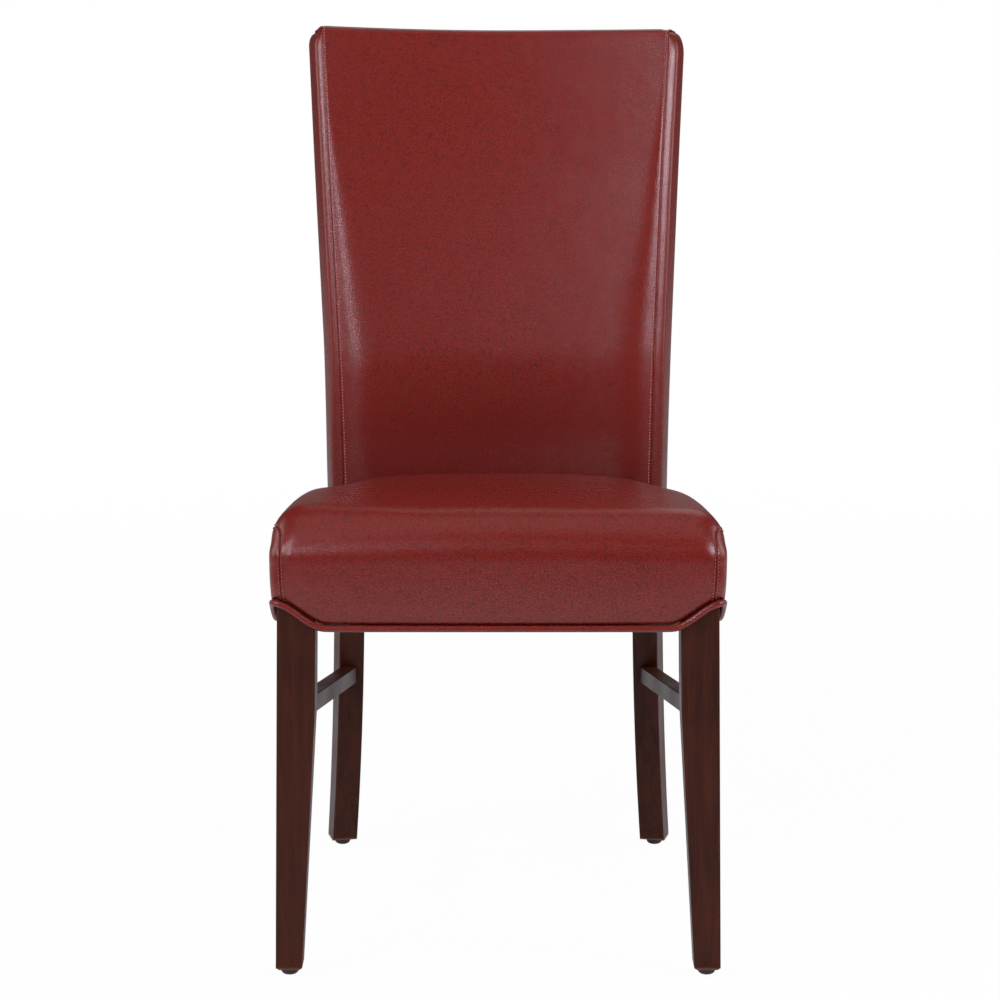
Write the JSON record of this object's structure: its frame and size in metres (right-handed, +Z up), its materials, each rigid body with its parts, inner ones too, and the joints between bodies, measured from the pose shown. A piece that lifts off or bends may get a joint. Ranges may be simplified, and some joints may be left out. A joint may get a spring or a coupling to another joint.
{
  "type": "upholstered dining chair",
  "caption": "High-backed dining chair with a dark wooden frame, square tapered front legs, side stretchers, a padded leather seat and a curved, raked leather back.",
  "frame": {"origin": "on the floor under the middle of the chair's bounding box", "axes": "+X to the right as seen from the front, +Y from the front to the back, +Z up"},
  "size_m": [0.4748, 0.6065, 0.989],
  "materials": {
    "dark_wood": "dark espresso stain under satin lacquer",
    "frame_wood": "raw planed hardwood",
    "dowel_wood": "raw beech, fluted and glued",
    "plywood": "raw thin plywood",
    "board": "stiff fibre board",
    "webbing": "woven elastic strap",
    "dust_cloth": "thin black non-woven cloth",
    "foam": "open-cell upholstery foam",
    "red_leather": "deep red pebbled leather, semi-gloss",
    "steel": "bright zinc plated",
    "nylon": "dark moulded nylon"
  },
  "bodies": {
    "root": {"back_cover_front": "red_leather", "back_cover_rear": "red_leather", "back_foam": "foam", "back_inner_panel": "plywood", "back_lower_rail": "frame_wood", "back_outside_board": "board", "back_rail_dowels": "dowel_wood", "back_side_band_left": "red_leather", "back_side_band_right": "red_leather", "back_top_rail": "frame_wood", "corner_block_front_left": "frame_wood", "corner_block_front_right": "frame_wood", "corner_block_rear_left": "frame_wood", "corner_block_rear_right": "frame_wood", "corner_block_screws": "steel", "dust_cover": "dust_cloth", "dust_cover_staples": "steel", "front_leg_left": "dark_wood", "front_leg_right": "dark_wood", "front_rail": "frame_wood", "glide_front_left": "nylon", "glide_front_right": "nylon", "glide_nails": "steel", "glide_rear_left": "nylon", "glide_rear_right": "nylon", "hem_welt": "red_leather", "rail_dowels": "dowel_wood", "rear_post_left": "dark_wood", "rear_post_right": "dark_wood", "rear_rail": "frame_wood", "seat_cover_side_left": "red_leather", "seat_cover_side_right": "red_leather", "seat_cover_top": "red_leather", "seat_foam": "foam", "seat_webbing_across": "webbing", "seat_webbing_lengthwise": "webbing", "side_rail_left": "frame_wood", "side_rail_right": "frame_wood", "side_stretcher_left": "dark_wood", "side_stretcher_right": "dark_wood", "stretcher_dowels": "dowel_wood", "webbing_staples": "steel"}
  },
  "joints": []
}
